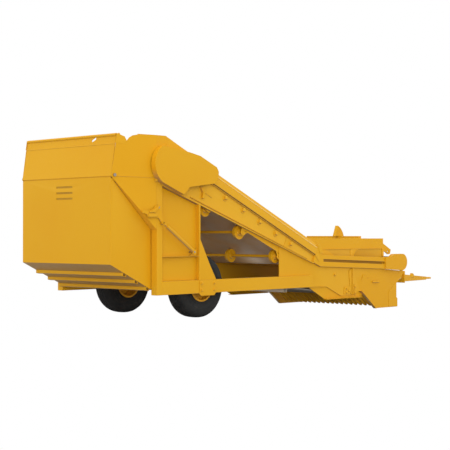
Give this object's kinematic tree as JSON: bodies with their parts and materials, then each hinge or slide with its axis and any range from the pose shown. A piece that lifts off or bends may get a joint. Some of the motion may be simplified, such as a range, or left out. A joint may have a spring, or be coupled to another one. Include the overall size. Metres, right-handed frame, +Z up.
{
  "type": "towed comb picker",
  "caption": "Towed full-width ground-comb picker: a belt elevator lifts debris into a rear-dumping box hopper carried on two wheels.",
  "frame": {"origin": "on the ground under the middle of the overall box", "axes": "+X forward in the direction of travel, +Y left, +Z up"},
  "size_m": [8.37, 2.13, 2.4006],
  "materials": {
    "yellow_paint": "satin",
    "apron_steel": "matte",
    "comb_steel": "satin",
    "cast_iron": "matte",
    "bare_steel": "polished",
    "rim_paint": "satin",
    "tyre_rubber": "matte"
  },
  "bodies": {
    "chassis": {"apron_end_wraps": "apron_steel", "apron_front_carrying": "apron_steel", "apron_front_return": "apron_steel", "apron_incline_carrying": "apron_steel", "apron_incline_return": "apron_steel", "axle_beam": "yellow_paint", "belly_pan": "yellow_paint", "comb_beam": "yellow_paint", "comb_tines": "comb_steel", "drawbar": "yellow_paint", "drive_cover_left": "yellow_paint", "drive_cover_right": "yellow_paint", "drive_motor": "cast_iron", "drum_bearings": "cast_iron", "elevator_upper_rail_left": "yellow_paint", "elevator_upper_rail_right": "yellow_paint", "elevator_web_left": "yellow_paint", "elevator_web_right": "yellow_paint", "frame_rail_left": "yellow_paint", "frame_rail_right": "yellow_paint", "front_cross_beam": "yellow_paint", "front_rails_left": "yellow_paint", "front_rails_right": "yellow_paint", "front_side_beam_left": "yellow_paint", "front_side_beam_right": "yellow_paint", "front_side_plate_left": "yellow_paint", "front_side_plate_right": "yellow_paint", "hinge_pins": "bare_steel", "hitch_plate": "yellow_paint", "hopper_bulkhead": "yellow_paint", "hopper_rear_wall": "yellow_paint", "hopper_side_left": "yellow_paint", "hopper_side_right": "yellow_paint", "idler_hangers_left": "yellow_paint", "idler_hangers_right": "yellow_paint", "marker_pylon": "yellow_paint", "nose_cover_left": "yellow_paint", "nose_cover_right": "yellow_paint", "rear_post_left": "yellow_paint", "rear_post_right": "yellow_paint", "side_panel_left": "yellow_paint", "side_panel_right": "yellow_paint"},
    "gate": {"gate_shell": "yellow_paint", "gate_floor_ribs": "yellow_paint"},
    "wheel_right": {"tyre_right": "tyre_rubber", "wheel_rim_right": "rim_paint"},
    "wheel_left": {"tyre_left": "tyre_rubber", "wheel_rim_left": "rim_paint"},
    "head_drum_body": {"head_drum": "yellow_paint"},
    "nose_drum_body": {"nose_drum": "yellow_paint"},
    "idler_1": {"return_idler_1": "yellow_paint"},
    "idler_2": {"return_idler_2": "yellow_paint"},
    "idler_3": {"return_idler_3": "yellow_paint"},
    "crank_right": {"latch_crank_right": "yellow_paint"},
    "crank_left": {"latch_crank_left": "yellow_paint"},
    "barrel_right": {"latch_barrel_right": "yellow_paint"},
    "barrel_left": {"latch_barrel_left": "yellow_paint"},
    "rod_right": {"latch_rod_right": "yellow_paint"},
    "rod_left": {"latch_rod_left": "yellow_paint"}
  },
  "joints": [
    {"name": "gate_swing", "type": "hinge", "parent": "chassis", "child": "gate", "pos_m": [-4.147, 0, 1.88], "axis": [0, 1, 0], "range_deg": [0, 65]},
    {"name": "wheel_spin_right", "type": "hinge", "parent": "chassis", "child": "wheel_right", "pos_m": [-2.56, -0.7195, 0.47], "axis": [0, 1, 0], "continuous": true},
    {"name": "wheel_spin_left", "type": "hinge", "parent": "chassis", "child": "wheel_left", "pos_m": [-2.56, 0.7195, 0.47], "axis": [0, 1, 0], "continuous": true},
    {"name": "head_drum_spin", "type": "hinge", "parent": "chassis", "child": "head_drum_body", "pos_m": [-3.32724, 0, 2.08347], "axis": [0, 1, 0], "continuous": true},
    {"name": "nose_drum_spin", "type": "hinge", "parent": "chassis", "child": "nose_drum_body", "pos_m": [1.861, 0, 0.708], "axis": [0, 1, 0], "continuous": true},
    {"name": "idler_1_spin", "type": "hinge", "parent": "chassis", "child": "idler_1", "pos_m": [-2.51883, 0, 1.48181], "axis": [0, 1, 0], "continuous": true},
    {"name": "idler_2_spin", "type": "hinge", "parent": "chassis", "child": "idler_2", "pos_m": [-1.84569, 0, 1.17928], "axis": [0, 1, 0], "continuous": true},
    {"name": "idler_3_spin", "type": "hinge", "parent": "chassis", "child": "idler_3", "pos_m": [-1.09136, 0, 0.84028], "axis": [0, 1, 0], "continuous": true},
    {"name": "latch_crank_swing_right", "type": "hinge", "parent": "chassis", "child": "crank_right", "pos_m": [-3.495, -1.005, 1.49], "axis": [0, 1, 0], "range_deg": [0, 27.5]},
    {"name": "latch_barrel_swing_right", "type": "hinge", "parent": "chassis", "child": "barrel_right", "pos_m": [-2.875, -1.005, 0.924], "axis": [0, -1, 0], "range_deg": [0, 4.71]},
    {"name": "latch_rod_slide_right", "type": "slide", "parent": "barrel_right", "child": "rod_right", "axis": [-0.8307, 0, 0.5568], "range_m": [0, 0.07898]},
    {"name": "latch_crank_swing_left", "type": "hinge", "parent": "chassis", "child": "crank_left", "pos_m": [-3.495, 1.005, 1.49], "axis": [0, 1, 0], "range_deg": [0, 27.5]},
    {"name": "latch_barrel_swing_left", "type": "hinge", "parent": "chassis", "child": "barrel_left", "pos_m": [-2.875, 1.005, 0.924], "axis": [0, -1, 0], "range_deg": [0, 4.71]},
    {"name": "latch_rod_slide_left", "type": "slide", "parent": "barrel_left", "child": "rod_left", "axis": [-0.8307, 0, 0.5568], "range_m": [0, 0.07898]}
  ],
  "couplings": [
    {"joint": "nose_drum_spin", "follows": "head_drum_spin", "ratio": 1.5385},
    {"joint": "idler_1_spin", "follows": "head_drum_spin", "ratio": -1.0309},
    {"joint": "idler_2_spin", "follows": "head_drum_spin", "ratio": -1.0309},
    {"joint": "idler_3_spin", "follows": "head_drum_spin", "ratio": -1.0309},
    {"joint": "latch_barrel_swing_right", "follows": "latch_crank_swing_right", "ratio": 0.16954},
    {"joint": "latch_rod_slide_right", "follows": "latch_crank_swing_right", "m_per_rad": 0.1635},
    {"joint": "latch_barrel_swing_left", "follows": "latch_crank_swing_left", "ratio": 0.16954},
    {"joint": "latch_rod_slide_left", "follows": "latch_crank_swing_left", "m_per_rad": 0.1635}
  ]
}
